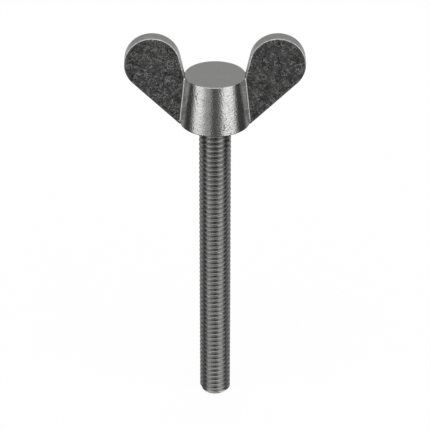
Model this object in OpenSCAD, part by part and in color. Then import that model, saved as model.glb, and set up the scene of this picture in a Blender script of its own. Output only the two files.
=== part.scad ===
/* [Boss] */
// Diameter of the tapered boss at its underside
boss_base_d = 13.1; // [12.5:0.1:14.5]
// Diameter of the boss at its flat top
boss_top_d = 11.2; // [10.5:0.1:11.5]
// Height of the boss
boss_h = 9.55; // [8.8:0.05:10.5]
// Diameter of the blind socket that holds the stud's spigot
socket_d = 5; // [4.8:0.1:5.4]
// Depth of that socket above the underside
socket_depth = 6.5; // [6.5:0.5:7.5]
// Diameter of the countersink at the socket's mouth
countersink_d = 6.8; // [6.6:0.1:7.4]

/* [Wings] */
// Distance across the outer ends of the two wings
wing_span = 33; // [32.6:0.1:36]
// Height of the tops of the wings above the underside of the boss
wing_top_z = 17.25; // [16.5:0.25:19]
// Radius of the round end of a wing
wing_end_r = 5.1; // [4:0.1:5.2]
// How much taller than wide the round end is
wing_end_rise = 0.25; // [0:0.05:0.5]
// Thickness of a wing plate
wing_t = 2.6; // [2:0.1:3]
// Distance from the boss's axis to the inner end of a wing's tenon
tenon_inner_x = 4; // [3.8:0.1:4.4]
// Height of the tenon's lower side
tenon_low_z = 2; // [1.5:0.1:2.5]
// Height of the tenon's upper side
tenon_high_z = 7; // [6:0.1:8]
// Width of the braze bead along each side of a wing's root
braze_w = 0.3; // [0.2:0.05:0.5]

/* [Stud] */
// Major diameter of the thread
thread_d = 6; // [5.8:0.1:6.4]
// Pitch of the thread
pitch = 1; // [0.75:0.25:1.25]
// Length of the stud below the boss
stud_l = 60; // [20:5:100]
// Diameter of the chamfered end face
tip_d = 4.8; // [4.3:0.1:5]
// Diameter of the groove around the spigot that holds the retaining compound
compound_groove_d = 4.4; // [3.6:0.1:4.6]
// Height of the groove's lower side
compound_low_z = 2; // [1:0.5:2.5]
// Height of the groove's upper side
compound_high_z = 5; // [4:0.5:6]

/* [Hidden] */
$fn = 240;
// How far a cutting solid runs past the face that it cuts
slack = 1;

boss_base_r = boss_base_d / 2;
boss_top_r = boss_top_d / 2;
flank_angle = atan((boss_base_r - boss_top_r) / boss_h);
socket_r = socket_d / 2;
countersink_r = countersink_d / 2;
countersink_h = countersink_r - socket_r;

// Centres of the two circles that make the round end
wing_high_centre = [wing_span / 2 - wing_end_r, wing_top_z - wing_end_r];
wing_low_centre = wing_high_centre - [0, wing_end_rise];
wing_root_low = [boss_base_r, 0];
wing_root_high = [boss_top_r, boss_h];
// How far a wing's root runs inside the boss's outline before the cope is cut
cope_depth = 0.5;
// Height at which a bead starts, above the point where the wing's lower edge leaves the rim
bead_low_z = 0.2;

// Basic profile of an ISO metric thread
thread_r = thread_d / 2;
thread_depth = 0.6134 * pitch;
root_r = thread_r - thread_depth;
crest_w = pitch / 8;
flank_w = thread_depth * tan(30);
turns = floor(stud_l / pitch);

// Unit vector at an angle
function unit(angle) = [cos(angle), sin(angle)];

// Angle from point a to point b
function bearing(a, b) = atan2(b[1] - a[1], b[0] - a[0]);

// Point where the tangent from p touches the end circle round c; side is 1 or -1
function touch(p, c, side) =
    c + wing_end_r * unit(bearing(c, p) + side * acos(wing_end_r / norm(c - p)));

// The boss before anything is cut from it; grow widens it all round
module boss_cone(grow = 0) {
    cylinder(h = boss_h, r1 = boss_base_r + grow, r2 = boss_top_r + grow);
}

// The slot that takes the tenon of the wing on the +X side
module mortise() {
    translate([tenon_inner_x, -wing_t / 2, tenon_low_z])
        cube([boss_base_r, wing_t, tenon_high_z - tenon_low_z]);
}

// The boss with its two mortises
module slotted_boss() {
    difference() {
        boss_cone();
        mortise();
        mirror([1, 0, 0]) mortise();
    }
}

module head_boss() {
    color("gainsboro")
        difference() {
            slotted_boss();
            translate([0, 0, -slack]) cylinder(h = socket_depth + slack, r = socket_r);
            cylinder(h = countersink_h, r1 = countersink_r, r2 = socket_r);
        }
}

// Side view of a wing and its tenon: straight edges from the boss's two rims, tangent to a round end
module wing_outline() {
    translate(wing_low_centre) circle(r = wing_end_r);
    translate(wing_high_centre) circle(r = wing_end_r);
    polygon([
        wing_root_low - [cope_depth, 0],
        wing_root_low,
        touch(wing_root_low, wing_low_centre, 1),
        wing_low_centre + [wing_end_r, 0],
        wing_high_centre + [wing_end_r, 0],
        touch(wing_root_high, wing_high_centre, -1),
        wing_root_high,
        wing_root_high - [cope_depth, 0]
    ]);
    translate([tenon_inner_x, tenon_low_z])
        square([boss_base_r - tenon_inner_x, tenon_high_z - tenon_low_z]);
}

// The wing on the +X side, coped to the boss
module wing() {
    difference() {
        rotate([90, 0, 0]) linear_extrude(height = wing_t, center = true) wing_outline();
        slotted_boss();
    }
}

module left_wing() {
    color("dimgray") mirror([1, 0, 0]) wing();
}

module right_wing() {
    color("dimgray") wing();
}

// One three-sided bead in the corner between the boss and the wing's +Y face
module braze_bead() {
    root_x = sqrt(pow(boss_base_r, 2) - pow(wing_t / 2, 2));
    difference() {
        intersection() {
            translate([root_x, wing_t / 2, 0])
                rotate([0, -flank_angle, 0])
                    linear_extrude(height = boss_h + slack)
                        polygon([[-braze_w, 0], [braze_w, 0], [0, braze_w], [-braze_w, braze_w]]);
            translate([0, 0, bead_low_z]) cube([boss_base_d, boss_base_d, boss_h - bead_low_z]);
        }
        boss_cone();
    }
}

// The front and back beads of the wing on the +X side
module wing_braze() {
    braze_bead();
    mirror([0, 1, 0]) braze_bead();
}

module left_wing_braze() {
    color("silver") mirror([1, 0, 0]) wing_braze();
}

module right_wing_braze() {
    color("silver") wing_braze();
}

// Half outline of the stud from its spigot down to the tip, with one V groove for each turn
stud_profile = concat(
    [[0, socket_depth], [socket_r, socket_depth]],
    [[socket_r, compound_high_z], [compound_groove_d / 2, compound_high_z]],
    [[compound_groove_d / 2, compound_low_z], [socket_r, compound_low_z]],
    [[socket_r, 0]],
    [for (i = [0 : turns - 1]) each [
        [thread_r, -i * pitch],
        [thread_r, -i * pitch - crest_w],
        [root_r, -i * pitch - crest_w - flank_w],
        [root_r, -(i + 1) * pitch + flank_w]
    ]],
    [[thread_r, -stud_l], [0, -stud_l]]
);

// Everything outside the 45 degree chamfer at the stud's tip
module tip_chamfer() {
    reach = thread_r + slack - tip_d / 2;
    rotate_extrude()
        polygon([
            [tip_d / 2 - slack, -stud_l - slack],
            [thread_r + slack, -stud_l - slack],
            [thread_r + slack, -stud_l + reach]
        ]);
}

module threaded_stud() {
    color("gray")
        difference() {
            rotate_extrude() polygon(stud_profile);
            tip_chamfer();
        }
}

module stud_retaining_compound() {
    color("seagreen")
        translate([0, 0, compound_low_z])
            difference() {
                cylinder(h = compound_high_z - compound_low_z, r = socket_r);
                translate([0, 0, -slack])
                    cylinder(h = compound_high_z - compound_low_z + 2 * slack, r = compound_groove_d / 2);
            }
}

head_boss();
left_wing();
right_wing();
left_wing_braze();
right_wing_braze();
threaded_stud();
stud_retaining_compound();
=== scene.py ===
"""The finished look of a wing screw: a turned boss, two flat wings brazed to it and a right-hand thread."""

import logging
import math
from dataclasses import dataclass, field
from enum import Enum
from itertools import product
from typing import ClassVar, NamedTuple

import bmesh
import bpy
import numpy as np
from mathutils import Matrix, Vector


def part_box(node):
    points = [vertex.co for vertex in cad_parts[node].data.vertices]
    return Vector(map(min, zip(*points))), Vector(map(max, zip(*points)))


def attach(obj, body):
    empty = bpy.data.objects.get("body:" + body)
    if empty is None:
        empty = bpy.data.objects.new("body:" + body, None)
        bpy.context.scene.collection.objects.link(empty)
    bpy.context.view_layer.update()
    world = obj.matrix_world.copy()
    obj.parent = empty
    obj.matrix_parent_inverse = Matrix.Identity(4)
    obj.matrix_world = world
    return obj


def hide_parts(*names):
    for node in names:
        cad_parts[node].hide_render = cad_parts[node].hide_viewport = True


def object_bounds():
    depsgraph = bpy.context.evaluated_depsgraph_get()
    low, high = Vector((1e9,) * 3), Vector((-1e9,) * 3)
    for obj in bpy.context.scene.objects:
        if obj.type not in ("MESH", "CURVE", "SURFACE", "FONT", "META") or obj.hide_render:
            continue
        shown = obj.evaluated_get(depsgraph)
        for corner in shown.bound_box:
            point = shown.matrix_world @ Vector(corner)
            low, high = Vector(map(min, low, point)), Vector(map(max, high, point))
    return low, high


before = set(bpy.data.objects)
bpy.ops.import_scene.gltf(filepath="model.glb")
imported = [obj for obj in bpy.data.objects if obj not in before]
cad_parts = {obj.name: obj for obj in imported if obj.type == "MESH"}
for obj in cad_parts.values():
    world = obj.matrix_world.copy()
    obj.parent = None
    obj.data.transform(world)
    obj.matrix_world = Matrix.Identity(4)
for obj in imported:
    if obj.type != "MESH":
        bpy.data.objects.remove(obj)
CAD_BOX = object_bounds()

MM = 0.001  # a millimetre in metres
FULL_TURN = 2.0 * math.pi
LOG = logging.getLogger("wing_screw")

Material = bpy.types.Material
SceneObject = bpy.types.Object
Socket = bpy.types.NodeSocket
Colour = tuple[float, float, float]
Value = float | Colour | Socket


class Side(Enum):
    """The side of the boss that a wing stands on, as the sign of X."""

    LEFT = -1
    RIGHT = 1


class Face(Enum):
    """The face of a wing that a bead runs along, as the sign of Y."""

    FRONT = -1
    BACK = 1


# ---------------------------------------------------------------- shapes as arrays


@dataclass(frozen=True)
class SolidNoise:
    """A smooth random field in space.

    Formula: every corner of a unit lattice has a fixed random value from -1 to 1, hashed from its three
    whole numbers and the seed. A point's value blends the eight corners of its cell, each weighted by the
    product of f * f * (3 - 2 * f) over its three fractions f.
    """

    seed: int
    AXIS_FACTORS: ClassVar[tuple[int, ...]] = (73856093, 19349663, 83492791)
    SEED_FACTOR: ClassVar[int] = 2654435761
    MIXING: ClassVar[tuple[tuple[int, int], ...]] = ((13, 1274126177), (15, 2246822519))
    WORD: ClassVar[np.uint64] = np.uint64(0xFFFFFFFF)
    LAYER_SHIFT: ClassVar[float] = 7.3 * MM

    def corner(self, cell: np.ndarray) -> np.ndarray:
        """Random value of each lattice corner.

        Formula: the three numbers and the seed, each times a large odd number, are joined by exclusive or.
        Twice, the word's upper bits are folded onto its lower ones and the word is multiplied again. Sixteen
        bits from its middle give the value.

        Args:
            cell: whole-number coordinates, shape (..., 3).

        Returns:
            Values from -1 to 1, shape (...).
        """
        spread = cell.astype(np.int64).astype(np.uint64) * np.array(self.AXIS_FACTORS, np.uint64)
        word = np.bitwise_xor.reduce(spread, axis=-1) ^ np.uint64(self.seed * self.SEED_FACTOR)
        word &= self.WORD
        for shift, factor in self.MIXING:
            word = (word ^ word >> np.uint64(shift)) * np.uint64(factor) & self.WORD
        return (word >> np.uint64(8) & np.uint64(0xFFFF)).astype(float) / 32767.5 - 1.0

    def at(self, points: np.ndarray, size: float) -> np.ndarray:
        """Value of the field at each point.

        Args:
            points: places in metres, shape (..., 3).
            size: edge of a lattice cell in metres.

        Returns:
            Values from -1 to 1, shape (...).
        """
        scaled = points / size
        cell = np.floor(scaled)
        part = scaled - cell
        ease = part * part * (3.0 - 2.0 * part)
        total = np.zeros(points.shape[:-1])
        for step in product((0, 1), repeat=3):
            weight = np.where(np.array(step, bool), ease, 1.0 - ease).prod(axis=-1)
            total += weight * self.corner(cell + np.array(step))
        return total

    def layered(self, points: np.ndarray, size: float, layers: int = 3) -> np.ndarray:
        """Sum of the field at halving sizes, each layer half as strong as the one before.

        Args:
            points: places in metres, shape (..., 3).
            size: edge of the first layer's cells in metres.
            layers: number of layers.

        Returns:
            Values from about -1 to 1, shape (...).
        """
        parts = [self.at(points + self.LAYER_SHIFT * n, size / 2**n) / 2**n for n in range(layers)]
        return sum(parts) / (2.0 - 0.5 ** (layers - 1))


@dataclass(frozen=True)
class Ripple:
    """One kind of unevenness of a surface.

    Attributes:
        size: width of its waves.
        height: height of its waves.
        layers: number of halving sizes in it.
    """

    size: float
    height: float
    layers: int = 3

    def at(self, points: np.ndarray, seed: int) -> np.ndarray:
        """Height at each point: the layered noise of that seed, times the ripple's height."""
        return SolidNoise(seed).layered(points, self.size, self.layers) * self.height


def smooth_step(value: np.ndarray, low: float, high: float) -> np.ndarray:
    """Eased ramp from 0 at low to 1 at high: t * t * (3 - 2 * t) of the clipped fraction t."""
    part = np.clip((value - low) / (high - low), 0.0, 1.0)
    return part * part * (3.0 - 2.0 * part)


def rounded_path(
    corners: np.ndarray, radii: list[float], steps: list[float], arc_points: int = 7
) -> np.ndarray:
    """Open path along straight runs, with each inner corner rounded.

    Formula: where the path turns by an angle a, an arc of radius r starts r * tan(a / 2) before the corner,
    about a centre on the corner's bisector. The straight runs are cut into equal parts.

    Args:
        corners: the path's corners, shape (n, 2).
        radii: rounding radius of each corner but the first and the last.
        steps: greatest spacing of points along each straight run.
        arc_points: number of points on each rounding.

    Returns:
        Points along the path, shape (m, 2).
    """
    pieces = []
    start = corners[0]
    fraction = np.linspace(0.0, 1.0, arc_points)[:, None]
    for before, corner, after, radius, step in zip(corners, corners[1:], corners[2:], radii, steps):
        back = (before - corner) / np.linalg.norm(before - corner)
        ahead = (after - corner) / np.linalg.norm(after - corner)
        turn = math.pi - math.acos(float(np.clip(back @ ahead, -1.0, 1.0)))
        reach = radius * math.tan(turn / 2.0)
        bisector = (back + ahead) / np.linalg.norm(back + ahead)
        centre = corner + bisector * math.hypot(reach, radius)
        first = corner + back * reach - centre
        last = corner + ahead * reach - centre
        arc = (np.sin((1.0 - fraction) * turn) * first + np.sin(fraction * turn) * last) / math.sin(turn)
        pieces += [straight_run(start, centre + first, step)[:-1], centre + arc[:-1]]
        start = centre + last
    pieces.append(straight_run(start, corners[-1], steps[-1]))
    return np.concatenate(pieces)


def straight_run(start: np.ndarray, end: np.ndarray, step: float) -> np.ndarray:
    """Equally spaced points from start to end, no further apart than step."""
    count = max(2, math.ceil(np.linalg.norm(end - start) / step) + 1)
    return start + (end - start) * np.linspace(0.0, 1.0, count)[:, None]


def belt(discs: np.ndarray, count: int, arc_points: int = 200) -> tuple[np.ndarray, np.ndarray]:
    """Outline of a tight belt round discs that are listed anticlockwise.

    Formula: the belt crosses from one disc to the next on their outer tangent. Its outward normal makes with
    the line of centres the angle whose cosine is (this radius - next radius) / distance. Each disc gives the
    arc between its two tangents, and the points are then spaced evenly along the whole length.

    Args:
        discs: centre and radius of each disc, shape (n, 3).
        count: number of points wanted.
        arc_points: number of points worked out on each arc before the even spacing.

    Returns:
        Points and outward unit normals, each of shape (count, 2).
    """
    centres, radii = discs[:, :2], discs[:, 2]
    ahead = np.roll(centres, -1, axis=0) - centres
    lean = np.arccos((radii - np.roll(radii, -1)) / np.hypot(ahead[:, 0], ahead[:, 1]))
    leave = np.arctan2(ahead[:, 1], ahead[:, 0]) - lean
    arrive = np.roll(leave, 1)
    sweep = (leave - arrive) % FULL_TURN
    angles = (arrive[:, None] + sweep[:, None] * np.linspace(0.0, 1.0, arc_points)).ravel()
    outward = np.stack([np.cos(angles), np.sin(angles)], axis=-1)
    path = np.repeat(centres, arc_points, axis=0) + np.repeat(radii, arc_points)[:, None] * outward
    table = np.concatenate([path, outward], axis=1)
    table = np.concatenate([table, table[:1]])
    gaps = np.diff(table[:, :2], axis=0)
    length = np.concatenate([[0.0], np.cumsum(np.hypot(gaps[:, 0], gaps[:, 1]))])
    wanted = np.linspace(0.0, length[-1], count, endpoint=False)
    spaced = np.stack([np.interp(wanted, length, column) for column in table.T], axis=-1)
    normals = spaced[:, 2:] / np.linalg.norm(spaced[:, 2:], axis=1, keepdims=True)
    return spaced[:, :2], normals


def per_point(column: np.ndarray, count: int) -> np.ndarray:
    """Repeats a value per ring for each of the ring's points."""
    return np.repeat(column[:, None], count, axis=1)


def ring_normals(rings: np.ndarray) -> np.ndarray:
    """Unit normals of a grid of rings: the cross product of the steps along and across the rings.

    Args:
        rings: points, shape (rows, columns, 3), with the columns closed round.

    Returns:
        Normals, shape (rows, columns, 3).
    """
    along = np.roll(rings, -1, axis=1) - np.roll(rings, 1, axis=1)
    across = np.gradient(rings, axis=0)
    normal = np.cross(along, across)
    return normal / np.maximum(np.linalg.norm(normal, axis=-1, keepdims=True), 1e-15)


@dataclass
class Surface:
    """A closed surface: points, faces of four and three corners, and a value per point for each mask."""

    points: np.ndarray
    quads: np.ndarray
    triangles: np.ndarray
    masks: dict[str, np.ndarray] = field(default_factory=dict)

    @classmethod
    def from_rings(cls, rings: np.ndarray, masks: dict[str, np.ndarray], seam: bool = False) -> "Surface":
        """Joins rows of points into a closed surface whose faces point outward.

        Formula: points j and j + 1 of one ring and points j + 1 and j of the next ring make a face. A fan of
        triangles closes each end at the middle of its ring. The faces are turned if the volume they enclose,
        the sum of a . (b x c) / 6 over their triangles, comes out negative.

        Args:
            rings: points, shape (rows, columns, 3).
            masks: a value per point for each named mask, shape (rows, columns).
            seam: True if the last column already repeats the first one's points, in any row.

        Returns:
            The surface.
        """
        rows, columns = rings.shape[:2]
        index = np.arange(rows * columns).reshape(rows, columns)
        here, after = (index[:, :-1], index[:, 1:]) if seam else (index, np.roll(index, -1, axis=1))
        quads = np.stack([here[:-1], after[:-1], after[1:], here[1:]], axis=-1).reshape(-1, 4)
        first_pole = np.full(here.shape[1], rows * columns)
        first_fan = np.stack([first_pole, after[0], here[0]], axis=-1)
        last_fan = np.stack([first_pole + 1, here[-1], after[-1]], axis=-1)
        triangles = np.concatenate([first_fan, last_fan])
        poles = rings[[0, -1], : here.shape[1]].mean(axis=1)
        points = np.concatenate([rings.reshape(-1, 3), poles])
        values = {name: np.append(mask.ravel(), mask[[0, -1]].mean(axis=1)) for name, mask in masks.items()}
        halves = np.concatenate([quads[:, :3], quads[:, [0, 2, 3]], triangles])
        a, b, c = (points[halves[:, corner]] for corner in range(3))
        if np.einsum("ij,ij->", a, np.cross(b, c)) < 0.0:
            quads, triangles = quads[:, ::-1], triangles[:, ::-1]
        return cls(points, quads, triangles, values)

    def joined(self, other: "Surface") -> "Surface":
        """This surface and another one as a single set of points and faces."""
        shift = len(self.points)
        return Surface(
            np.concatenate([self.points, other.points]),
            np.concatenate([self.quads, other.quads + shift]),
            np.concatenate([self.triangles, other.triangles + shift]),
            {name: np.concatenate([mask, other.masks[name]]) for name, mask in self.masks.items()},
        )

    def to_piece(self, name: str, material: Material, weld: float = 0.0) -> SceneObject:
        """Makes a smooth-shaded mesh object at the origin.

        Args:
            name: name of the object and of its mesh.
            material: its finish.
            weld: points closer than this, in metres, become one; 0 welds nothing.

        Returns:
            The object, linked to the scene.
        """
        mesh = bpy.data.meshes.new(name)
        corners = np.concatenate([self.quads.ravel(), self.triangles.ravel()]).astype(np.int32)
        sizes = np.repeat([4, 3], [len(self.quads), len(self.triangles)]).astype(np.int32)
        mesh.vertices.add(len(self.points))
        mesh.vertices.foreach_set("co", self.points.ravel())
        mesh.loops.add(len(corners))
        mesh.loops.foreach_set("vertex_index", corners)
        mesh.polygons.add(len(sizes))
        mesh.polygons.foreach_set("loop_start", np.cumsum(sizes, dtype=np.int32) - sizes)
        for mask, values in self.masks.items():
            mesh.attributes.new(mask, "FLOAT", "POINT").data.foreach_set("value", values)
        mesh.update(calc_edges=True)
        if weld > 0.0:
            welded = bmesh.new()
            welded.from_mesh(mesh)
            bmesh.ops.remove_doubles(welded, verts=welded.verts, dist=weld)
            welded.to_mesh(mesh)
            welded.free()
        mesh.validate()
        mesh.polygons.foreach_set("use_smooth", np.ones(len(mesh.polygons), bool))
        mesh.materials.append(material)
        piece = bpy.data.objects.new(name, mesh)
        bpy.context.scene.collection.objects.link(piece)
        return piece


# ---------------------------------------------------------------- finishes


class NodeSheet:
    """Adds nodes to one tree and joins them."""

    def __init__(self, tree: bpy.types.NodeTree) -> None:
        """Starts with an empty tree."""
        self.tree = tree
        tree.nodes.clear()

    def add(self, kind: str, **settings: object) -> bpy.types.Node:
        """Adds a node of that kind and sets its named properties."""
        node = self.tree.nodes.new(kind)
        for name, value in settings.items():
            setattr(node, name, value)
        return node

    def feed(self, socket: Socket, value: Value) -> None:
        """Joins a socket to another socket's output, or sets it to a number or a colour."""
        if isinstance(value, Socket):
            self.tree.links.new(value, socket)
        elif isinstance(value, tuple) and len(socket.default_value) == 4:
            socket.default_value = (*value, 1.0)
        else:
            socket.default_value = value

    def math(self, operation: str, *values: Value, clamp: bool = False) -> Socket:
        """Result of a Math node on up to three numbers."""
        node = self.add("ShaderNodeMath", operation=operation, use_clamp=clamp)
        for socket, value in zip(node.inputs, values):
            self.feed(socket, value)
        return node.outputs["Value"]

    def ramp(self, value: Value, low: float, high: float, start: Value = 0.0, end: Value = 1.0) -> Socket:
        """Result of an eased Map Range node from low..high to start..end."""
        node = self.add("ShaderNodeMapRange", interpolation_type="SMOOTHSTEP")
        names = ("Value", "From Min", "From Max", "To Min", "To Max")
        for name, given in zip(names, (value, low, high, start, end)):
            self.feed(node.inputs[name], given)
        return node.outputs["Result"]

    def blend(self, factor: Value, first: Value, second: Value) -> Socket:
        """Colour that goes from first to second as factor goes from 0 to 1."""
        node = self.add("ShaderNodeMix", data_type="RGBA")
        for slot, given in zip((0, 6, 7), (factor, first, second)):
            self.feed(node.inputs[slot], given)
        return node.outputs[2]

    def noise(self, vector: Value, scale: Value, detail: float = 2.0, roughness: float = 0.5) -> Socket:
        """Value of a Noise Texture at a vector."""
        node = self.add("ShaderNodeTexNoise", noise_dimensions="3D")
        names = ("Vector", "Scale", "Detail", "Roughness")
        for name, given in zip(names, (vector, scale, detail, roughness)):
            self.feed(node.inputs[name], given)
        return node.outputs["Fac"]


class EffectGroup:
    """A shader node group with named sockets, made once and placed in every material that needs it."""

    NAME = ""
    INPUTS: tuple[tuple[str, str], ...] = ()
    OUTPUTS: tuple[tuple[str, str], ...] = ()

    def tree(self) -> bpy.types.NodeTree:
        """The group's tree, made on first use."""
        made = bpy.data.node_groups.get(self.NAME)
        if made:
            return made
        made = bpy.data.node_groups.new(self.NAME, "ShaderNodeTree")
        for name, kind in self.INPUTS:
            made.interface.new_socket(name, in_out="INPUT", socket_type=kind)
        for name, kind in self.OUTPUTS:
            made.interface.new_socket(name, in_out="OUTPUT", socket_type=kind)
        sheet = NodeSheet(made)
        inlet = sheet.add("NodeGroupInput")
        outlet = sheet.add("NodeGroupOutput")
        for name, result in self.wire(sheet, inlet.outputs).items():
            sheet.feed(outlet.inputs[name], result)
        return made

    def wire(self, sheet: NodeSheet, given: bpy.types.NodeOutputs) -> dict[str, Socket]:
        """Adds the group's own nodes and returns the result for each named output."""
        raise NotImplementedError

    def place(self, sheet: NodeSheet, **values: Value) -> bpy.types.NodeOutputs:
        """Places the group in a material.

        Args:
            sheet: the material's nodes.
            values: a value or a socket for each input, with spaces in its name written as underscores.

        Returns:
            The placed group's outputs.
        """
        node = sheet.add("ShaderNodeGroup", node_tree=self.tree())
        for name, value in values.items():
            sheet.feed(node.inputs[name.replace("_", " ")], value)
        return node.outputs


class Mottle(EffectGroup):
    """Blotches and fine grain, as on scaled or tumbled steel.

    The blotch and the grain are two noises at their own scales. Their mean, stretched about one half by
    Contrast, mixes the dark tone into the light one. A third, sparser noise darkens small specks. The height
    is a plain noise as wide as the grain, with the specks sunk into it.
    """

    NAME = "mottle"
    INPUTS = (
        ("Vector", "NodeSocketVector"),
        ("Blotch Scale", "NodeSocketFloat"),
        ("Grain Scale", "NodeSocketFloat"),
        ("Contrast", "NodeSocketFloat"),
        ("Specks", "NodeSocketFloat"),
        ("Dark Tone", "NodeSocketColor"),
        ("Light Tone", "NodeSocketColor"),
        ("Smooth Roughness", "NodeSocketFloat"),
        ("Dull Roughness", "NodeSocketFloat"),
    )
    OUTPUTS = (
        ("Color", "NodeSocketColor"),
        ("Roughness", "NodeSocketFloat"),
        ("Height", "NodeSocketFloat"),
    )
    SPECK_TO_GRAIN = 0.8
    SPECK_LIMITS = (0.64, 0.72)
    SPECK_TONE = (0.03, 0.03, 0.03)
    SPECK_DEPTH = 0.5

    def wire(self, sheet: NodeSheet, given: bpy.types.NodeOutputs) -> dict[str, Socket]:
        """Adds the noises and mixes the two tones by them."""
        blotch = sheet.noise(given["Vector"], given["Blotch Scale"], detail=3.0, roughness=0.6)
        grain = sheet.noise(given["Vector"], given["Grain Scale"], detail=3.0, roughness=0.65)
        mean = sheet.math("MULTIPLY_ADD", blotch, 0.5, sheet.math("MULTIPLY", grain, 0.5))
        spread = sheet.math("MULTIPLY", sheet.math("SUBTRACT", mean, 0.5), given["Contrast"])
        factor = sheet.math("ADD", spread, 0.5, clamp=True)
        speck_scale = sheet.math("MULTIPLY", given["Grain Scale"], self.SPECK_TO_GRAIN)
        speck = sheet.ramp(sheet.noise(given["Vector"], speck_scale, detail=1.0), *self.SPECK_LIMITS)
        speck = sheet.math("MULTIPLY", speck, given["Specks"])
        tone = sheet.blend(factor, given["Dark Tone"], given["Light Tone"])
        tone = sheet.blend(speck, tone, self.SPECK_TONE)
        wide = sheet.math("SUBTRACT", given["Dull Roughness"], given["Smooth Roughness"])
        dull = sheet.math("SUBTRACT", 1.0, factor)
        roughness = sheet.math("MULTIPLY_ADD", dull, wide, given["Smooth Roughness"])
        bumps = sheet.noise(given["Vector"], given["Grain Scale"], detail=1.0, roughness=0.4)
        height = sheet.math("SUBTRACT", bumps, sheet.math("MULTIPLY", speck, self.SPECK_DEPTH))
        return {"Color": tone, "Roughness": roughness, "Height": height}


class EdgeWear(EffectGroup):
    """Bare, smoother metal where a mask says that the edge is handled, broken up by a fine noise."""

    NAME = "edge_wear"
    INPUTS = (
        ("Vector", "NodeSocketVector"),
        ("Mask", "NodeSocketFloat"),
        ("Breakup Scale", "NodeSocketFloat"),
        ("Color", "NodeSocketColor"),
        ("Roughness", "NodeSocketFloat"),
        ("Bare Tone", "NodeSocketColor"),
        ("Bare Roughness", "NodeSocketFloat"),
    )
    OUTPUTS = (
        ("Color", "NodeSocketColor"),
        ("Roughness", "NodeSocketFloat"),
    )
    PATCH_LIMITS = (0.3, 0.6)

    def wire(self, sheet: NodeSheet, given: bpy.types.NodeOutputs) -> dict[str, Socket]:
        """Multiplies the mask by a noise and mixes the bare metal in by it."""
        patchy = sheet.ramp(sheet.noise(given["Vector"], given["Breakup Scale"]), *self.PATCH_LIMITS)
        worn = sheet.math("MULTIPLY", given["Mask"], patchy)
        gap = sheet.math("SUBTRACT", given["Bare Roughness"], given["Roughness"])
        return {
            "Color": sheet.blend(worn, given["Color"], given["Bare Tone"]),
            "Roughness": sheet.math("MULTIPLY_ADD", gap, worn, given["Roughness"]),
        }


class Scratches(EffectGroup):
    """Thin light scratches in the XZ plane, in a few directions.

    For each direction a noise is stretched about four times along it. The scratches are where the noise
    passes a limit, so each one is short, thin and slightly wavy. A coarse noise makes them weaker in some
    areas.
    """

    NAME = "scratches"
    INPUTS = (
        ("Vector", "NodeSocketVector"),
        ("Scale", "NodeSocketFloat"),
        ("Strength", "NodeSocketFloat"),
        ("Color", "NodeSocketColor"),
        ("Bare Tone", "NodeSocketColor"),
    )
    OUTPUTS = (
        ("Color", "NodeSocketColor"),
        ("Height", "NodeSocketFloat"),
    )
    ANGLES = (12.0, 58.0, 95.0, 140.0)
    STRETCH = 0.24
    LIMITS = (0.60, 0.69)
    CROWD_TO_SCALE = 0.2
    CROWD_LIMITS = (0.35, 0.6)
    LEAST = 0.35

    def wire(self, sheet: NodeSheet, given: bpy.types.NodeOutputs) -> dict[str, Socket]:
        """Adds a stretched noise for each direction and mixes the bare tone in by the strongest."""
        lines = 0.0
        for angle in self.ANGLES:
            turned = sheet.add("ShaderNodeVectorRotate", rotation_type="Y_AXIS")
            sheet.feed(turned.inputs["Vector"], given["Vector"])
            sheet.feed(turned.inputs["Angle"], math.radians(angle))
            drawn = sheet.add("ShaderNodeVectorMath", operation="MULTIPLY")
            sheet.feed(drawn.inputs[0], turned.outputs["Vector"])
            drawn.inputs[1].default_value = (1.0, 1.0, self.STRETCH)
            streak = sheet.noise(drawn.outputs["Vector"], given["Scale"], detail=1.0)
            lines = sheet.math("MAXIMUM", lines, sheet.ramp(streak, *self.LIMITS))
        crowd_scale = sheet.math("MULTIPLY", given["Scale"], self.CROWD_TO_SCALE)
        crowd = sheet.noise(given["Vector"], crowd_scale, detail=1.0)
        crowd = sheet.ramp(crowd, *self.CROWD_LIMITS, self.LEAST)
        mark = sheet.math("MULTIPLY", sheet.math("MULTIPLY", lines, crowd), given["Strength"])
        return {
            "Color": sheet.blend(mark, given["Color"], given["Bare Tone"]),
            "Height": sheet.math("MULTIPLY", mark, -1.0),
        }


class Look(NamedTuple):
    """What a finish works out at each point of a surface."""

    tone: Socket
    roughness: Socket
    height: Socket


@dataclass(frozen=True)
class Finish:
    """A procedural surface.

    Attributes:
        name: name of the material.
        relief: height of its bumps in metres.
    """

    name: str
    relief: float
    METALLIC: ClassVar[float] = 0.0

    def look(self, sheet: NodeSheet, place: Socket) -> Look:
        """Adds the effects and returns their results.

        Args:
            sheet: the material's nodes.
            place: the point's place on the object, in metres.

        Returns:
            The tone, the roughness and the height, which is 1 at the full relief.
        """
        raise NotImplementedError

    def material(self) -> Material:
        """Builds the material: one shader takes the tone, the roughness and the bumps.

        Returns:
            The material.
        """
        made = bpy.data.materials.new(self.name)
        made.use_nodes = True
        sheet = NodeSheet(made.node_tree)
        look = self.look(sheet, sheet.add("ShaderNodeTexCoord").outputs["Object"])
        bump = sheet.add("ShaderNodeBump")
        bump.inputs["Distance"].default_value = self.relief
        sheet.feed(bump.inputs["Height"], look.height)
        shader = sheet.add("ShaderNodeBsdfPrincipled")
        shader.inputs["Metallic"].default_value = self.METALLIC
        sheet.feed(shader.inputs["Base Color"], look.tone)
        sheet.feed(shader.inputs["Roughness"], look.roughness)
        sheet.feed(shader.inputs["Normal"], bump.outputs["Normal"])
        output = sheet.add("ShaderNodeOutputMaterial")
        sheet.feed(output.inputs["Surface"], shader.outputs["BSDF"])
        return made


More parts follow.
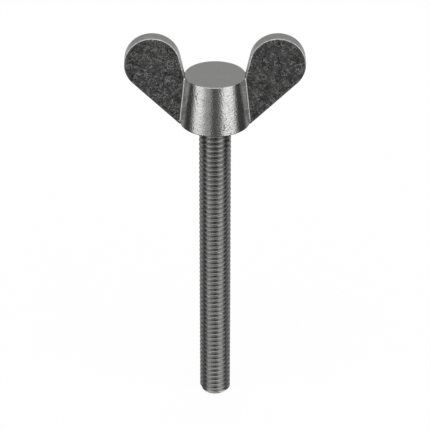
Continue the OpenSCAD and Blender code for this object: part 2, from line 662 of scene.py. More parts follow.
@dataclass(frozen=True)
class SteelFinish(Finish):
    """How one steel surface looks.

    Attributes:
        dark_tone: reflectance in its darkest blotches.
        light_tone: reflectance in its lightest blotches.
        bare_tone: reflectance where an edge is worn or scratched.
        smooth_roughness: roughness of the light blotches.
        dull_roughness: roughness of the dark blotches.
        blotch: width of a blotch in metres.
        grain: width of a grain in metres.
        contrast: how hard the two tones part.
        specks: strength of the dark specks, from 0 to 1.
        wear: strength of the worn edges, from 0 to 1.
        scratches: strength of the scratches, from 0 to 1.
        scratch: spacing of the scratches in metres.
        cut_tone: reflectance of the plain sheared or faced areas, where the "cut" mask is 1.
        pit_tone: reflectance at the bottom of a pit, where the "pits" mask is 1.
    """

    dark_tone: Colour
    light_tone: Colour
    bare_tone: Colour
    smooth_roughness: float
    dull_roughness: float
    blotch: float
    grain: float
    contrast: float
    specks: float = 0.0
    wear: float = 0.0
    scratches: float = 0.0
    scratch: float = 0.25 * MM
    cut_tone: Colour = (0.55, 0.55, 0.545)
    pit_tone: Colour = (0.06, 0.06, 0.06)
    METALLIC: ClassVar[float] = 1.0
    CUT_SHARE: ClassVar[float] = 0.75  # how far a sheared or faced area covers the mottling
    PIT_SHARE: ClassVar[float] = 0.8  # how far the bottom of a pit covers the tone around it
    SCRATCH_DEPTH: ClassVar[float] = 0.5  # depth of a scratch as a share of the relief
    WEAR_PATCH: ClassVar[float] = 0.4 * MM  # width of the patches that break up a worn edge

    def look(self, sheet: NodeSheet, place: Socket) -> Look:
        """Lays scratches, plain cut areas, pits and worn edges over the mottling, in that order."""
        edge, cut, pits = (
            sheet.add("ShaderNodeAttribute", attribute_name=mask).outputs["Fac"]
            for mask in ("edge", "cut", "pits")
        )
        mottle = Mottle().place(
            sheet, Vector=place, Blotch_Scale=1.0 / self.blotch, Grain_Scale=1.0 / self.grain,
            Contrast=self.contrast, Specks=self.specks, Dark_Tone=self.dark_tone, Light_Tone=self.light_tone,
            Smooth_Roughness=self.smooth_roughness, Dull_Roughness=self.dull_roughness,
        )
        scratches = Scratches().place(
            sheet, Vector=place, Scale=1.0 / self.scratch, Strength=self.scratches, Color=mottle["Color"],
            Bare_Tone=self.bare_tone,
        )
        plain = sheet.math("MULTIPLY", cut, self.CUT_SHARE)
        tone = sheet.blend(plain, scratches["Color"], self.cut_tone)
        tone = sheet.blend(sheet.math("MULTIPLY", pits, self.PIT_SHARE), tone, self.pit_tone)
        wear = EdgeWear().place(
            sheet, Vector=place, Mask=sheet.math("MULTIPLY", edge, self.wear),
            Breakup_Scale=1.0 / self.WEAR_PATCH, Color=tone, Roughness=mottle["Roughness"],
            Bare_Tone=self.bare_tone, Bare_Roughness=self.smooth_roughness,
        )
        height = sheet.math("MULTIPLY_ADD", scratches["Height"], self.SCRATCH_DEPTH, mottle["Height"])
        height = sheet.math("MULTIPLY", height, sheet.math("SUBTRACT", 1.0, plain))
        return Look(wear["Color"], wear["Roughness"], height)


@dataclass(frozen=True)
class CompoundFinish(Finish):
    """Cured retaining compound: a green plastic with cloudy patches and small bubbles.

    Attributes:
        tone: its colour where it is thick.
        pale_tone: its colour in the paler clouds.
        smooth_roughness: roughness of the pale clouds.
        dull_roughness: roughness of the others.
        cloud: width of a cloud.
        bubble: width of a bubble.
        contrast: how hard the two colours part.
    """

    name: str = "retaining_compound"
    relief: float = 0.04 * MM
    tone: Colour = (0.02, 0.16, 0.06)
    pale_tone: Colour = (0.05, 0.3, 0.12)
    smooth_roughness: float = 0.35
    dull_roughness: float = 0.55
    cloud: float = 0.8 * MM
    bubble: float = 0.4 * MM
    contrast: float = 2.0

    def look(self, sheet: NodeSheet, place: Socket) -> Look:
        """Clouds of the two colours, with the bubbles as the grain."""
        mottle = Mottle().place(
            sheet, Vector=place, Blotch_Scale=1.0 / self.cloud, Grain_Scale=1.0 / self.bubble,
            Contrast=self.contrast, Dark_Tone=self.tone, Light_Tone=self.pale_tone,
            Smooth_Roughness=self.smooth_roughness, Dull_Roughness=self.dull_roughness,
        )
        return Look(mottle["Color"], mottle["Roughness"], mottle["Height"])


def grey(level: float) -> Colour:
    """A very slightly warm grey of that reflectance."""
    return (level, level * 0.995, level * 0.985)


TURNED_STEEL = SteelFinish(
    name="turned_steel", dark_tone=grey(0.49), light_tone=grey(0.61), bare_tone=grey(0.75),
    smooth_roughness=0.18, dull_roughness=0.24, blotch=1.6 * MM, grain=0.3 * MM, contrast=3.0,
    specks=0.4, wear=0.25, relief=0.030 * MM, cut_tone=grey(0.535),
)
WING_STEEL = SteelFinish(
    name="wing_steel", dark_tone=grey(0.10), light_tone=grey(0.43), bare_tone=grey(0.84),
    smooth_roughness=0.26, dull_roughness=0.36, blotch=1.8 * MM, grain=0.3 * MM, contrast=4.0,
    specks=0.3, wear=0.6, scratches=0.92, scratch=0.19 * MM, relief=0.02 * MM, cut_tone=grey(0.575),
)
BRAZE = SteelFinish(
    name="braze", dark_tone=grey(0.62), light_tone=grey(0.74), bare_tone=grey(0.8),
    smooth_roughness=0.2, dull_roughness=0.3, blotch=0.8 * MM, grain=0.2 * MM, contrast=2.0,
    relief=0.002 * MM,
)
THREAD_STEEL = SteelFinish(
    name="thread_steel", dark_tone=grey(0.37), light_tone=grey(0.48), bare_tone=grey(0.57),
    smooth_roughness=0.20, dull_roughness=0.32, blotch=1.2 * MM, grain=0.22 * MM, contrast=2.6,
    specks=0.06, wear=0.5, relief=0.003 * MM,
)


# ---------------------------------------------------------------- the screw's pieces


@dataclass(frozen=True)
class PitPatch:
    """An area of the boss's flank where pits crowd.

    Attributes:
        angle: its middle in degrees from the front, positive to the right.
        spread: its half width in degrees.
        height: height of its middle.
        rise: its half height.
    """

    angle: float
    spread: float
    height: float
    rise: float

    def nearness(self, angle: np.ndarray, height: np.ndarray) -> np.ndarray:
        """Bell curve of the distances in angle and in height, 1 in the middle of the patch."""
        return np.exp(-((angle - self.angle) / self.spread) ** 2 - ((height - self.height) / self.rise) ** 2)


@dataclass
class Boss:
    """The turned, tapered boss with its blind socket.

    Attributes:
        top_radius: radius of the flat top.
        socket_radius: radius of the blind socket for the stud.
        socket_depth: depth of the socket.
        countersink_radius: radius of the socket's mouth.
        hub_radius: radius of the innermost ring at both ends of the surface.
        top_rounding: rounding of the top rim.
        base_rounding: rounding of the lower rim.
        inner_rounding: rounding of the corners in the socket.
        columns: points round each ring.
        flank_step: spacing of the rings on the uneven flank.
        plain_step: spacing of the rings elsewhere.
        swell: slow unevenness of the flank.
        ripple: fine unevenness of the flank.
        foot: how much stronger the ripple is low down, and the heights where that is full and ends.
        pit_size: width of a pit.
        pit_depth: depth of a pit.
        pit_limits: values of the noise where a pit starts and where it is full.
        crowding: how much a patch adds to the noise.
        pit_patches: where the pits crowd.
        top_fade: distances inside the top rim between which the unevenness fades out.
        wear_band: distances from a rim between which its wear fades out.
        cut_fade: width over which the faced look of the top fades in from its rounding.
        seed: seed of the swell; the ripple has the next one.
        pit_seed: seed of the pits.
    """

    top_radius: float = 5.6 * MM
    socket_radius: float = 2.5 * MM
    socket_depth: float = 6.5 * MM
    countersink_radius: float = 3.4 * MM
    hub_radius: float = 0.2 * MM
    top_rounding: float = 0.16 * MM
    base_rounding: float = 0.15 * MM
    inner_rounding: float = 0.04 * MM
    columns: int = 520
    flank_step: float = 0.085 * MM
    plain_step: float = 0.6 * MM
    swell: Ripple = Ripple(2.6 * MM, 0.005 * MM)
    ripple: Ripple = Ripple(0.5 * MM, 0.0022 * MM, layers=2)
    foot: tuple[float, float, float] = (1.2, 1.0 * MM, 5.0 * MM)
    pit_size: float = 0.2 * MM
    pit_depth: float = 0.02 * MM
    pit_limits: tuple[float, float] = (0.86, 0.96)
    crowding: float = 0.6
    pit_patches: tuple[PitPatch, ...] = (
        PitPatch(-36.0, 9.0, 7.5 * MM, 0.9 * MM),
        PitPatch(26.0, 14.0, 1.5 * MM, 1.4 * MM),
        PitPatch(-30.0, 9.0, 0.9 * MM, 0.6 * MM),
    )
    top_fade: tuple[float, float] = (0.2 * MM, 0.5 * MM)
    wear_band: tuple[float, float] = (0.08 * MM, 0.3 * MM)
    cut_fade: float = 0.15 * MM
    seed: int = 11
    pit_seed: int = 76
    TOUCH: ClassVar[float] = 0.01 * MM  # heights that differ by less count as the same

    def __post_init__(self) -> None:
        """Takes the outer sizes from the frame."""
        low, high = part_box("head_boss")
        self.base_radius = (high[0] - low[0]) / 2.0
        self.height = high[2]

    def radius_at(self, z: np.ndarray) -> np.ndarray:
        """Radius of the tapered flank at a height."""
        return self.base_radius + (self.top_radius - self.base_radius) * z / self.height

    def outline(self) -> np.ndarray:
        """Half section from the socket's ceiling, round both rims, to the middle of the top.

        Returns:
            Radius and height of each point, shape (n, 2).
        """
        corners = np.array([
            [self.hub_radius, self.socket_depth],
            [self.socket_radius, self.socket_depth],
            [self.socket_radius, self.countersink_radius - self.socket_radius],
            [self.countersink_radius, 0.0],
            [self.base_radius, 0.0],
            [self.top_radius, self.height],
            [self.hub_radius, self.height],
        ])
        radii = [self.inner_rounding] * 3 + [self.base_rounding, self.top_rounding]
        steps = [self.plain_step] * 4 + [self.flank_step, self.plain_step]
        return rounded_path(corners, radii, steps)

    def relief(self, rings: np.ndarray) -> tuple[np.ndarray, np.ndarray]:
        """Height of the tumbled flank's unevenness.

        Formula: a slow swell and a fine ripple, which is stronger low down, plus small pits where a third
        noise passes a limit. Near a patch the noise is raised by the patch's bell curve. All fade out away
        from the flank.

        Args:
            rings: the smooth boss's points.

        Returns:
            The height along the outward normal in metres, and the mask of the pits.
        """
        x, y, height = np.moveaxis(rings, -1, 0)
        angle = np.degrees(np.arctan2(x, -y))
        crowd = self.crowding * sum(patch.nearness(angle, height) for patch in self.pit_patches)
        pits = smooth_step(SolidNoise(self.pit_seed).at(rings, self.pit_size) + crowd, *self.pit_limits)
        gain, full, end = self.foot
        ripple = self.ripple.at(rings, self.seed + 1) * (1.0 + gain * smooth_step(height, end, full))
        fade = self.base_rounding
        flank = smooth_step(height, 0.0, 2.0 * fade) * smooth_step(self.height - height, 0.0, fade)
        inside = self.top_radius - np.hypot(x, y)
        flank = flank * (1.0 - smooth_step(inside, *self.top_fade))
        return flank * (self.swell.at(rings, self.seed) + ripple - self.pit_depth * pits), flank * pits

    def build(self) -> Surface:
        """Turns the outline about Z: a point (r, z) becomes (r cos a, r sin a, z) at each angle a.

        Returns:
            The boss's surface. Its mask "edge" is 1 at the two rims, "cut" on the flat top and "pits" in the
            pits.
        """
        outline = self.outline()
        radius, height = outline.T
        angle = np.linspace(0.0, FULL_TURN, self.columns, endpoint=False)
        rings = np.stack([
            np.outer(radius, np.cos(angle)),
            np.outer(radius, np.sin(angle)),
            np.outer(height, np.ones_like(angle)),
        ], axis=-1)
        lift, pits = self.relief(rings)
        outward = ring_normals(rings)
        on_flank = len(outline) * 2 // 3
        sign = np.sign(outward[on_flank, 0] @ rings[on_flank, 0])
        to_top = np.hypot(radius - self.top_radius, height - self.height)
        to_base = np.hypot(radius - self.base_radius, height)
        edge = 1.0 - smooth_step(np.minimum(to_top, to_base), *self.wear_band)
        on_top = height > self.height - self.TOUCH
        cut = on_top * smooth_step(self.top_radius - self.top_rounding - radius, 0.0, self.cut_fade)
        masks = {"edge": per_point(edge, self.columns), "cut": per_point(cut, self.columns), "pits": pits}
        return Surface.from_rings(rings + outward * (sign * lift)[..., None], masks)

    def add(self, material: Material) -> SceneObject:
        """Puts the boss in the scene in place of its CAD node."""
        piece = self.build().to_piece("turned_boss", material)
        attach(piece, "root")
        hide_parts("head_boss")
        return piece


@dataclass
class Wing:
    """One flat wing: a plate with rounded edges whose root lies inside the boss.

    Attributes:
        side: the side of the boss it stands on.
        boss: the boss it is fixed to.
        end_radius: radius of the round end.
        end_rise: how much taller than wide the round end is.
        rounding: rounding of the plate's edges.
        corner: radius of the small discs that end the straight sides in the boss.
        overlap: how far the upper side runs on inside the boss.
        columns: points round the outline.
        face_rows: rings on each flat face.
        edge_rows: rings on each rounding.
        rim_rows: rings across the rim between the roundings.
        swell: slow unevenness of the faces.
        ripple: fine unevenness of the faces.
        sink: how far the faces lie inside the plate's full thickness, to leave room for their unevenness.
        seed: seed of the swell; the ripple has the next one.
    """

    side: Side
    boss: Boss
    end_radius: float = 5.1 * MM
    end_rise: float = 0.25 * MM
    rounding: float = 0.16 * MM
    corner: float = 0.15 * MM
    overlap: float = 1.6 * MM
    columns: int = 400
    face_rows: int = 72
    edge_rows: int = 6
    rim_rows: int = 10
    swell: Ripple = Ripple(1.8 * MM, 0.010 * MM)
    ripple: Ripple = Ripple(0.45 * MM, 0.0035 * MM, layers=2)
    sink: float = 0.014 * MM
    seed: int = 21
    INNER_SHIFT: ClassVar[float] = 0.2 * MM  # how much further out the last disc lies than the one above it
    MIDDLE_SHARES: ClassVar[tuple[float, float]] = (0.9, 0.82)  # middle of the rings, by the end's centre
    FACE_LIMITS: ClassVar[tuple[float, float]] = (0.3, 0.9)  # lean to Y where unevenness starts and is full
    WORN_SHARE: ClassVar[float] = 1.0 / 15.0  # outer share of a face where its wear comes in
    FACE_WEAR: ClassVar[float] = 0.8  # wear at the outer end of a face

    def __post_init__(self) -> None:
        """Takes the outer sizes from the frame."""
        self.word = self.side.name.lower()
        low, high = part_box(f"{self.word}_wing")
        self.reach = max(abs(low[0]), abs(high[0]))
        self.top = high[2]
        self.thickness = high[1] - low[1]

    def outline(self) -> tuple[np.ndarray, np.ndarray]:
        """The plate's outline in the XZ plane, on the +X side.

        Formula: a belt round five discs. Two large ones, one above the other, are the round end. The
        straight sides leave the boss at its two rims, so one small disc touches the lower side just at the
        lower rim and another lies a little way down the upper side's own line, inside the boss. The last
        disc is inside the boss too.

        Returns:
            Points and outward normals, each of shape (columns, 2).
        """
        high_centre = np.array([self.reach - self.end_radius, self.top - self.end_radius])
        low_centre = high_centre - [0.0, self.end_rise]
        low_rim = np.array([self.boss.base_radius, 0.0])
        high_rim = np.array([self.boss.top_radius, self.boss.height])
        low_out = self.side_normal(low_centre, low_rim, 1.0)
        high_out = self.side_normal(high_centre, high_rim, -1.0)
        down = np.array([high_out[1], -high_out[0]])
        down = down * -np.sign(down[1])
        low_disc = low_rim + self.corner * np.array([-(1.0 + low_out[1]) / low_out[0], 1.0])
        high_disc = high_rim + down * self.overlap - high_out * self.corner
        inner_disc = np.array([high_disc[0] + self.INNER_SHIFT, 3.0 * self.corner])
        large = [[*centre, self.end_radius] for centre in (low_centre, high_centre)]
        small = [[*centre, self.corner] for centre in (high_disc, inner_disc, low_disc)]
        return belt(np.array(large + small), self.columns)

    def side_normal(self, centre: np.ndarray, rim: np.ndarray, turn: float) -> np.ndarray:
        """Outward normal of the straight side that leaves a rim and touches the round end.

        Args:
            centre: centre of the end's circle that the side touches.
            rim: the point where the side meets the boss.
            turn: 1 for the lower side and -1 for the upper one.

        Returns:
            A unit vector, shape (2,).
        """
        back = rim - centre
        angle = math.atan2(back[1], back[0]) + turn * math.acos(self.end_radius / np.linalg.norm(back))
        return np.array([math.cos(angle), math.sin(angle)])

    def sections(self) -> tuple[np.ndarray, ...]:
        """How the rings run: out over the front face, round its edge, across the rim and back.

        Returns:
            For each ring, the share of the way out from the middle, the inset from the outline, the place
            across the thickness, the strength of the edge's wear and how far it is a sheared face.
        """
        half = self.thickness / 2.0
        share = np.linspace(0.0, 1.0, self.face_rows + 1)[1:]
        turn = np.linspace(0.0, math.pi / 2.0, self.edge_rows + 1)[1:]
        rim = np.linspace(-half + self.rounding, half - self.rounding, self.rim_rows + 2)[1:-1]
        near = self.FACE_WEAR * smooth_step(share, 1.0 - self.WORN_SHARE, 1.0)
        flat, full = np.ones_like(share), np.ones_like(turn)
        inward, back = self.rounding * (1.0 - np.sin(turn)), self.rounding * (1.0 - np.cos(turn))
        face = (share, self.rounding * flat, -half * flat, near, 0.0 * flat)
        edge = (full, inward, back - half, full, np.sin(turn))
        middle = (np.ones_like(rim), np.zeros_like(rim), rim, np.zeros_like(rim), np.ones_like(rim))
        flips = (1.0, 1.0, -1.0, 1.0, 1.0)
        return tuple(
            np.concatenate([*front, centre, flip * np.concatenate(front)[::-1]])
            for *front, centre, flip in zip(face, edge, middle, flips)
        )

    def build(self) -> Surface:
        """Carries the section round the outline.

        Formula: a point of the outline moved in by the ring's inset, then towards the plate's middle by the
        ring's share, gives X and Z; the section gives Y. The faces then rise and fall along their normals by
        the swell and the ripple.

        Returns:
            The wing's surface. Its mask "edge" is 1 on the roundings and "cut" on the rim.
        """
        path, outward = self.outline()
        share, inset, across, wear, cut = self.sections()
        middle = np.array([self.reach - self.end_radius, self.top - self.end_radius]) * self.MIDDLE_SHARES
        edge_line = path[None] - inset[:, None, None] * outward[None]
        flat = middle + share[:, None, None] * (edge_line - middle)
        rings = np.empty((len(share), self.columns, 3))
        rings[..., 0] = self.side.value * flat[..., 0]
        rings[..., 1] = across[:, None]
        rings[..., 2] = flat[..., 1]
        normals = ring_normals(rings)
        normals *= np.sign(normals[0, 0, 1] * rings[0, 0, 1])
        lift = self.swell.at(rings, self.seed) + self.ripple.at(rings, self.seed + 1) - self.sink
        on_face = smooth_step(np.abs(normals[..., 1]), *self.FACE_LIMITS)
        masks = {"edge": per_point(wear, self.columns), "cut": per_point(cut, self.columns)}
        return Surface.from_rings(rings + normals * (on_face * lift)[..., None], masks)

    def add(self, material: Material) -> SceneObject:
        """Puts the wing in the scene in place of its CAD node."""
        piece = self.build().to_piece(f"{self.word}_wing_plate", material)
        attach(piece, "root")
        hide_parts(f"{self.word}_wing")
        return piece


@dataclass
class BrazeBeads:
    """The two hollow fillets of braze along the root of one wing.

    Attributes:
        wing: the wing whose root they run along.
        radius: radius of the hollow.
        start: height where a bead starts.
        gap: distance from a bead's upper end to the boss's top.
        depth: how far a bead's hidden back lies inside the metal.
        waver: how much the hollow's radius varies, as a share of it.
        waver_size: length over which it varies.
        taper: share of the bead's length over which each end runs out.
        rows: number of sections along a bead.
        arc_points: points across the hollow.
    """

    wing: Wing
    radius: float = 0.27 * MM
    start: float = 0.2 * MM
    gap: float = 0.12 * MM
    depth: float = 0.08 * MM
    waver: float = 0.12
    waver_size: float = 1.4 * MM
    taper: float = 0.03
    rows: int = 140
    arc_points: int = 9
    SEED: ClassVar[int] = 40  # seed of the waver, before the side's sign is added
    LEAST: ClassVar[float] = 0.02  # share of the run-out over which a bead's point keeps its size

    def bead(self, face: Face) -> Surface:
        """One bead.

        Formula: at each height the hollow is an arc that touches both the wing's face and the circle of the
        boss. Its centre is one hollow radius from the face and that much outside the circle. The radius
        varies a little with height and runs out to a point at both ends.

        Args:
            face: the face of the wing that it runs along.

        Returns:
            The bead's surface.
        """
        boss, half = self.wing.boss, self.wing.thickness / 2.0
        run = np.linspace(0.0, 1.0, self.rows)
        height = self.start + (boss.height - self.gap - self.start) * run
        places = np.stack([np.zeros_like(run), np.full_like(run, face.value * half), height], axis=-1)
        vary = 1.0 + Ripple(self.waver_size, self.waver).at(places, self.SEED + self.wing.side.value)
        run_out = np.sqrt(np.clip(np.minimum(run, 1.0 - run) / self.taper, self.LEAST, 1.0))
        hollow = self.radius * vary * run_out
        flank = boss.radius_at(height)
        centre_x = np.sqrt((flank + hollow) ** 2 - (half + hollow) ** 2)
        lean = np.arctan2(half + hollow, centre_x)
        sweep = np.linspace(0.0, 1.0, self.arc_points)
        angle = -math.pi / 2.0 - (math.pi / 2.0 - lean)[:, None] * sweep
        arc_x = centre_x[:, None] + hollow[:, None] * np.cos(angle)
        arc_y = (half + hollow)[:, None] + hollow[:, None] * np.sin(angle)
        root_x = np.sqrt(flank**2 - half**2)
        hidden_x = np.stack([arc_x[:, -1] - self.depth, root_x - self.depth, arc_x[:, 0]], axis=-1)
        under = np.full_like(root_x, half - self.depth)
        hidden_y = np.stack([arc_y[:, -1], under, under], axis=-1)
        rings = np.empty((self.rows, self.arc_points + 3, 3))
        rings[..., 0] = self.wing.side.value * np.concatenate([arc_x, hidden_x], axis=1)
        rings[..., 1] = face.value * np.concatenate([arc_y, hidden_y], axis=1)
        rings[..., 2] = height[:, None]
        return Surface.from_rings(rings, {"edge": np.zeros(rings.shape[:2])})

    def add(self, material: Material) -> SceneObject:
        """Puts both beads in the scene in place of their CAD node."""
        surface = self.bead(Face.FRONT).joined(self.bead(Face.BACK))
        piece = surface.to_piece(f"{self.wing.word}_braze_beads", material)
        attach(piece, "root")
        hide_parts(f"{self.wing.word}_wing_braze")
        return piece


@dataclass
class Stud:
    """The stud with its right-hand metric thread, chamfered tip and plain spigot.

    Attributes:
        pitch: distance from one turn to the next.
        crest_share: width of the flat crest as a share of the pitch.
        flank_share: height of one flank along the axis as a share of the pitch.
        depth_share: depth of the thread as a share of the pitch.
        tip_radius: radius of the flat end.
        start_turn: place of a crest at angle 0 below the boss, as a share of the pitch.
        runout: height above the boss's underside where the crests start to fade.
        spigot_radius: radius of the plain spigot in the boss.
        spigot_height: height of the spigot's end.
        spigot_chamfer: width of the chamfer at the spigot's end.
        hub_radius: radius of the innermost ring on the spigot's end.
        roll: unevenness left by the rolling of the thread.
        roll_fade: how far beyond the tip's radius that unevenness starts and is full.
        worn_share: half width of the worn strip on a crest, as a share of the pitch.
        closing: the rings on the flat end, as shares of its radius.
        columns: points in one turn.
        seed: seed of the roll.
    """

    pitch: float = 1.0 * MM
    crest_share: float = 0.125
    flank_share: float = 0.3542
    depth_share: float = 0.6134
    tip_radius: float = 2.4 * MM
    start_turn: float = -0.285
    runout: float = 0.3 * MM
    spigot_radius: float = 2.48 * MM
    spigot_height: float = 6.45 * MM
    spigot_chamfer: float = 0.2 * MM
    hub_radius: float = 0.3 * MM
    roll: Ripple = Ripple(0.9 * MM, 0.006 * MM)
    roll_fade: tuple[float, float] = (0.02 * MM, 0.2 * MM)
    worn_share: float = 0.08
    closing: tuple[float, ...] = (0.97, 0.85, 0.6, 0.3)
    columns: int = 96
    seed: int = 31

    def __post_init__(self) -> None:
        """Takes the outer sizes from the frame."""
        low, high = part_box("threaded_stud")
        self.crest_radius = (high[0] - low[0]) / 2.0
        self.tip = low[2]

    def profile(self) -> np.ndarray:
        """Places along one turn, as shares of the pitch from the middle of the crest, where points lie."""
        half_crest = self.crest_share / 2.0
        foot = half_crest + self.flank_share
        near_crest = half_crest * np.array([0.6, 0.95, 1.25])
        near_foot = [(half_crest + foot) / 2.0, foot - 0.02, foot + 0.015]
        half = np.concatenate([near_crest, near_foot])
        return np.concatenate([[0.0], half, 1.0 - half[::-1]])

    @staticmethod
    def from_crest(share: np.ndarray) -> np.ndarray:
        """Distance from a place in the turn to the nearest crest, both as shares of the pitch."""
        return np.abs((share + 0.5) % 1.0 - 0.5)

    def radius(self, share: np.ndarray, height: np.ndarray) -> np.ndarray:
        """Radius of the threaded surface.

        Formula: over one pitch the radius is level along the crest, falls evenly along a flank, is level
        along the root and rises along the other flank. It is never more than the tip's 45 degree cone or the
        cone that ends the thread inside the boss.

        Args:
            share: place in the turn, as a share of the pitch from a crest.
            height: height of the point.

        Returns:
            The radius in metres.
        """
        fall = np.clip((self.from_crest(share) - self.crest_share / 2.0) / self.flank_share, 0.0, 1.0)
        thread = self.crest_radius - self.depth_share * self.pitch * fall
        tip_cone = self.tip_radius + (height - self.tip)
        top_cone = self.crest_radius - np.maximum(height - self.runout, 0.0)
        return np.minimum(thread, np.minimum(tip_cone, top_cone))

    def build(self) -> Surface:
        """Winds the profile into a right-hand screw.

        Formula: row v of the grid starts at a height h and climbs by one pitch over a turn, so its point at
        angle a is (r cos a, r sin a, h + pitch * a / 360 degrees). Rows are cut off level at the tip and at
        the neck, where every point has the cone's radius. Plain rings then close the end and the spigot.

        Returns:
            The stud's surface. Its mask "edge" is 1 along the crests.
        """
        neck = self.runout + self.crest_radius - self.tip_radius
        profile = self.profile()
        turns = math.ceil((neck - self.tip) / self.pitch) + 2
        share = (np.arange(turns)[:, None] + profile).ravel()
        angle = np.linspace(0.0, FULL_TURN, self.columns + 1)
        start = neck + self.pitch * (1.0 + self.start_turn)
        height = start - self.pitch * share[:, None] + self.pitch * angle / FULL_TURN
        height = np.clip(height, self.tip, neck)
        radius = self.radius(share[:, None], height)
        screw = np.stack([radius * np.cos(angle), radius * np.sin(angle), height], axis=-1)
        crest = per_point(self.from_crest(share) < self.worn_share, len(angle))
        roll = self.roll.at(screw, self.seed) * smooth_step(radius - self.tip_radius, *self.roll_fade)
        screw[..., :2] *= ((radius + roll - self.roll.height) / radius)[..., None]
        spigot = [
            (self.hub_radius, self.spigot_height),
            (self.spigot_radius - self.spigot_chamfer, self.spigot_height),
            (self.spigot_radius, self.spigot_height - self.spigot_chamfer),
            (self.spigot_radius, neck + self.spigot_radius - self.tip_radius),
        ]
        end = [(self.tip_radius * part, self.tip) for part in self.closing]
        rings = np.concatenate([self.plain_rings(spigot, angle), screw, self.plain_rings(end, angle)])
        edge = np.zeros(rings.shape[:2])
        edge[len(spigot) : len(spigot) + len(crest)] = crest
        return Surface.from_rings(rings, {"edge": edge}, seam=True)

    @staticmethod
    def plain_rings(sizes: list[tuple[float, float]], angle: np.ndarray) -> np.ndarray:
        """Level circles of the given radii and heights, as rows of points."""
        radius, height = (column[:, None] for column in np.array(sizes).T)
        return np.stack([radius * np.cos(angle), radius * np.sin(angle), height + 0.0 * angle], axis=-1)

    def add(self, material: Material) -> SceneObject:
        """Puts the stud in the scene in place of its CAD node."""
        piece = self.build().to_piece("rolled_stud", material, weld=0.0005 * MM)
        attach(piece, "root")
        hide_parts("threaded_stud")
        return piece


# ---------------------------------------------------------------- studio


@dataclass(frozen=True)
class SoftLight:
    """One large soft light, far off, as a patch of the surroundings.

    Attributes:
        azimuth: direction in degrees from the front, positive to the right.
        half_width: half its width in degrees.
        width_blur: softness of its sides in degrees.
        low: elevation of its lower edge in degrees.
        high: elevation of its upper edge in degrees.
        height_blur: softness of its lower and upper edges in degrees.
        level: brightness that it adds; a dark card has a negative one.
    """

    azimuth: float
    half_width: float
    width_blur: float
    low: float
    high: float
    height_blur: float
    level: float


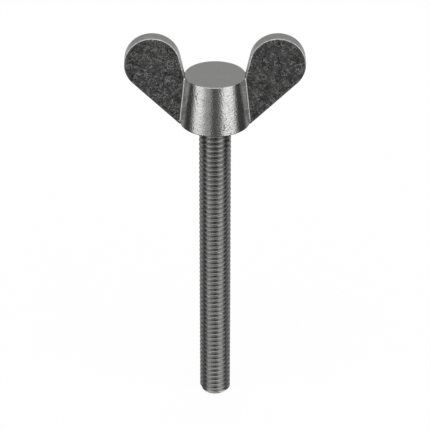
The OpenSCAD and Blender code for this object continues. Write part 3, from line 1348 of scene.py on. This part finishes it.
@dataclass(frozen=True)
class Studio:
    """Plain pale floor, even surroundings and soft lights round the object.

    Attributes:
        upper: brightness of the surroundings above the horizon.
        lower: brightness of the surroundings below it.
        horizon_low: elevation in degrees where the lower brightness ends.
        horizon_high: elevation in degrees where the upper brightness starts.
        darkest: least brightness of the surroundings.
        paper: brightness of the floor and of the backdrop as the camera sees them.
        paper_tone: reflectance of the floor's paper.
        paper_share: how much of its brightness the paper reflects; it glows with the rest.
        floor_size: width of the floor in metres.
        floor_gap: how far the floor lies below the tip, so that the two faces don't coincide.
        lights: the soft lights.
    """

    upper: float = 0.42
    lower: float = 0.06
    horizon_low: float = -12.0
    horizon_high: float = 4.0
    darkest: float = 0.03
    paper: float = 0.978
    paper_tone: float = 0.12
    paper_share: float = 0.05
    floor_size: float = 8.0
    floor_gap: float = 0.1 * MM
    lights: tuple[SoftLight, ...] = (
        SoftLight(-57.5, 17.0, 11.0, -24.5, 8.0, 6.0, 1.36),  # left key
        SoftLight(47.5, 22.5, 10.0, -22.8, 8.0, 5.5, 1.50),  # right key
        SoftLight(-27.0, 15.0, 6.0, -25.5, 8.0, 6.0, 0.41),  # soft inner edge of the left key
        SoftLight(14.0, 10.0, 8.0, -24.0, 8.0, 6.0, 0.10),  # faint inner edge of the right key
        SoftLight(-180.0, 62.0, 5.0, -24.0, -6.0, 5.0, 0.50),  # back, near the horizon
        SoftLight(180.0, 34.0, 8.0, -95.0, -24.0, 5.0, 0.22),  # back, from below
        SoftLight(0.0, 70.0, 25.0, 10.0, 80.0, 12.0, 0.62),  # front, overhead
        SoftLight(-106.0, 27.0, 8.0, -4.0, 60.0, 8.0, -0.30),  # dark card on the left
        SoftLight(100.0, 25.0, 8.0, -4.0, 60.0, 8.0, -0.30),  # dark card on the right
    )

    def surroundings(self) -> bpy.types.World:
        """Makes the world: its brightness is worked out from a ray's direction.

        Formula: the base goes from lower to upper with elevation. Each soft light adds its level times an
        eased band in azimuth times an eased band in elevation. The camera itself sees plain paper.

        Returns:
            The world.
        """
        world = bpy.data.worlds.new("studio")
        world.use_nodes = True
        sheet = NodeSheet(world.node_tree)
        direction = sheet.add("ShaderNodeTexCoord").outputs["Generated"]
        parts = sheet.add("ShaderNodeSeparateXYZ")
        sheet.feed(parts.inputs["Vector"], direction)
        x, y, z = (parts.outputs[name] for name in "XYZ")
        elevation = sheet.math("DEGREES", sheet.math("ARCSINE", z))
        azimuth = sheet.math("DEGREES", sheet.math("ARCTAN2", x, sheet.math("MULTIPLY", y, -1.0)))
        total = sheet.ramp(elevation, self.horizon_low, self.horizon_high, self.lower, self.upper)
        for light in self.lights:
            offset = sheet.math("WRAP", sheet.math("SUBTRACT", azimuth, light.azimuth), 180.0, -180.0)
            offset = sheet.math("ABSOLUTE", offset)
            outer, inner = light.half_width + light.width_blur, light.half_width - light.width_blur
            side = sheet.ramp(offset, outer, inner)
            foot = sheet.ramp(elevation, light.low - light.height_blur, light.low + light.height_blur)
            head = sheet.ramp(elevation, light.high + light.height_blur, light.high - light.height_blur)
            band = sheet.math("MULTIPLY", sheet.math("MULTIPLY", side, foot), head)
            total = sheet.math("MULTIPLY_ADD", band, light.level, total)
        seen = sheet.add("ShaderNodeBackground")
        sheet.feed(seen.inputs["Color"], (self.paper,) * 3)
        lit = sheet.add("ShaderNodeBackground")
        sheet.feed(lit.inputs["Color"], (1.0, 1.0, 1.0))
        sheet.feed(lit.inputs["Strength"], sheet.math("MAXIMUM", total, self.darkest))
        choice = sheet.add("ShaderNodeMixShader")
        sheet.feed(choice.inputs[0], sheet.add("ShaderNodeLightPath").outputs["Is Camera Ray"])
        sheet.feed(choice.inputs[1], lit.outputs["Background"])
        sheet.feed(choice.inputs[2], seen.outputs["Background"])
        output = sheet.add("ShaderNodeOutputWorld")
        sheet.feed(output.inputs["Surface"], choice.outputs["Shader"])
        return world

    def paper_material(self) -> Material:
        """Paper that glows softly, so that the floor stays pale under the dim surroundings.

        Returns:
            The material.
        """
        made = bpy.data.materials.new("studio_paper")
        made.use_nodes = True
        shader = made.node_tree.nodes["Principled BSDF"]
        shader.inputs["Base Color"].default_value = (*(self.paper_tone,) * 3, 1.0)
        shader.inputs["Roughness"].default_value = 1.0
        shader.inputs["Specular IOR Level"].default_value = 0.0
        shader.inputs["Emission Color"].default_value = (1.0, 1.0, 1.0, 1.0)
        shader.inputs["Emission Strength"].default_value = self.paper - self.paper_share
        return made

    def add(self) -> None:
        """Adds the world and the floor under the object's lowest point."""
        bpy.context.scene.world = self.surroundings()
        bpy.context.scene.view_settings.view_transform = "Standard"
        half, level = self.floor_size / 2.0, CAD_BOX[0][2] - self.floor_gap
        mesh = bpy.data.meshes.new("floor")
        corners = [(-half, -half, level), (half, -half, level), (half, half, level), (-half, half, level)]
        mesh.from_pydata(corners, [], [(0, 1, 2, 3)])
        mesh.materials.append(self.paper_material())
        floor = bpy.data.objects.new("floor", mesh)
        floor.visible_glossy = False
        floor.visible_diffuse = False
        bpy.context.scene.collection.objects.link(floor)


@dataclass(frozen=True)
class Viewpoint:
    """The main camera, in front of the screw and above it.

    Attributes:
        elevation: angle above the horizon in degrees.
        distance: distance from the target in metres.
        rise: height of the target above the middle of the object.
        lens: focal length in millimetres on a sensor 36 mm wide.
    """

    elevation: float = 30.3
    distance: float = 369.7 * MM
    rise: float = 1.19 * MM
    lens: float = 162.8

    def add(self) -> SceneObject:
        """Adds the camera and makes it the scene's own.

        Returns:
            The camera.
        """
        tilt = math.radians(self.elevation)
        target = (CAD_BOX[0] + CAD_BOX[1]) / 2.0
        data = bpy.data.cameras.new("viewpoint")
        data.lens = self.lens
        data.sensor_width = 36.0
        data.clip_start, data.clip_end = 0.01, 50.0
        camera = bpy.data.objects.new("viewpoint", data)
        camera.location = (
            target[0],
            target[1] - self.distance * math.cos(tilt),
            target[2] + self.rise + self.distance * math.sin(tilt),
        )
        camera.rotation_euler = (math.pi / 2.0 - tilt, 0.0, 0.0)
        bpy.context.scene.collection.objects.link(camera)
        bpy.context.scene.camera = camera
        return camera


def report(piece: SceneObject) -> None:
    """Logs a finished piece's name and its number of faces."""
    LOG.info("%s: %d faces", piece.name, len(piece.data.polygons))


def dress_frame_node(name: str, material: Material) -> SceneObject:
    """Gives a CAD node that stays as it is a new finish.

    Args:
        name: name of the node.
        material: its finish.

    Returns:
        The node's object.
    """
    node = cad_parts[name]
    node.data.materials.clear()
    node.data.materials.append(material)
    return node


def main() -> None:
    """Builds the studio, the camera and every piece of the screw."""
    Viewpoint().add()
    Studio().add()
    boss = Boss()
    report(boss.add(TURNED_STEEL.material()))
    wing_steel = WING_STEEL.material()
    braze = BRAZE.material()
    for side in Side:
        wing = Wing(side, boss, seed=50 + 10 * side.value)
        report(wing.add(wing_steel))
        report(BrazeBeads(wing).add(braze))
    report(Stud().add(THREAD_STEEL.material()))
    report(dress_frame_node("stud_retaining_compound", CompoundFinish().material()))


if __name__ == "__main__":
    logging.basicConfig(level=logging.INFO)
    main()
